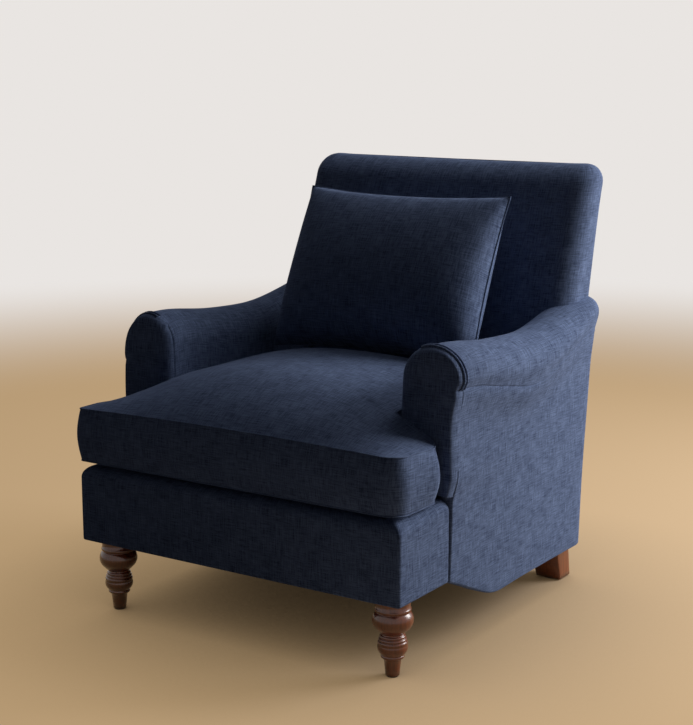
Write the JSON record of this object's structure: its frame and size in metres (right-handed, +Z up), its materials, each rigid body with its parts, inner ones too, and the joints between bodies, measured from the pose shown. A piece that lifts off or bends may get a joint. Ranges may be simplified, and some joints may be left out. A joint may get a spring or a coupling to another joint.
{
  "type": "armchair",
  "caption": "Upholstered armchair with low rolled arms, a T-shaped seat cushion, a raked back, a loose pillow, turned front feet and square splayed rear legs.",
  "frame": {"origin": "on the floor, under the middle of the chair: halfway between the arms and halfway from front to rear", "axes": "+X to the right as seen from the front, +Y from the front to the back, +Z up; the chair faces -Y"},
  "size_m": [0.8484, 0.93, 0.919],
  "materials": {
    "upholstery": "navy slub chenille",
    "padding": "foam and fibre",
    "lining": "black lining cloth",
    "webbing": "woven tape",
    "frame_wood": "sawn hardwood",
    "walnut": "walnut stain, satin lacquer",
    "steel": "plain steel",
    "nylon": "moulded glide"
  },
  "bodies": {
    "chair": {"arm_cover_left": "upholstery", "arm_cover_right": "upholstery", "arm_facing_left": "upholstery", "arm_facing_right": "upholstery", "arm_pad_left": "padding", "arm_pad_right": "padding", "arm_stump_left": "frame_wood", "arm_stump_right": "frame_wood", "arm_tack_rail_left": "frame_wood", "arm_tack_rail_right": "frame_wood", "arm_top_rail_left": "frame_wood", "arm_top_rail_right": "frame_wood", "back_lower_rail": "frame_wood", "back_pad": "padding", "back_post_left": "frame_wood", "back_post_right": "frame_wood", "back_side_cover_left": "upholstery", "back_side_cover_right": "upholstery", "back_top_rail": "frame_wood", "back_webbing": "webbing", "base_cover": "upholstery", "base_pad": "padding", "corner_blocks": "frame_wood", "deck_cover": "lining", "deck_pad": "padding", "dust_cover": "lining", "facing_welts": "upholstery", "floor_glides": "nylon", "front_foot_left": "walnut", "front_foot_right": "walnut", "front_rail": "frame_wood", "inside_back": "upholstery", "leg_bolts": "steel", "lumbar_webbing": "webbing", "outside_arm_left": "upholstery", "outside_arm_right": "upholstery", "outside_back": "upholstery", "rear_bottom_rail": "frame_wood", "rear_leg_left": "walnut", "rear_leg_right": "walnut", "rear_seat_rail": "frame_wood", "rear_stile_left": "frame_wood", "rear_stile_right": "frame_wood", "seat_springs": "steel", "side_rail_left": "frame_wood", "side_rail_right": "frame_wood", "spring_clips": "steel", "spring_ties": "webbing", "tee_nuts": "steel"},
    "seat_cushion": {"seat_cushion_cover": "upholstery", "seat_cushion_core": "padding", "seat_zip": "webbing"},
    "back_pillow": {"pillow_cover": "upholstery", "pillow_filling": "padding"},
    "zip_slider": {"seat_zip_slider": "steel"},
    "zip_pull": {"seat_zip_pull": "steel"}
  },
  "joints": [
    {"name": "cushion_lift", "type": "slide", "parent": "chair", "child": "seat_cushion", "axis": [0, 0, 1], "range_m": [0, 0.35]},
    {"name": "pillow_lift", "type": "slide", "parent": "seat_cushion", "child": "back_pillow", "axis": [0, -0.5, 0.866], "range_m": [0, 0.45]},
    {"name": "zip_run", "type": "slide", "parent": "seat_cushion", "child": "zip_slider", "axis": [1, 0, 0], "range_m": [0, 0.434]},
    {"name": "pull_swing", "type": "hinge", "parent": "zip_slider", "child": "zip_pull", "pos_m": [-0.217, 0.17011, 0.3843], "axis": [0, 0, 1], "range_deg": [0, 180]}
  ]
}
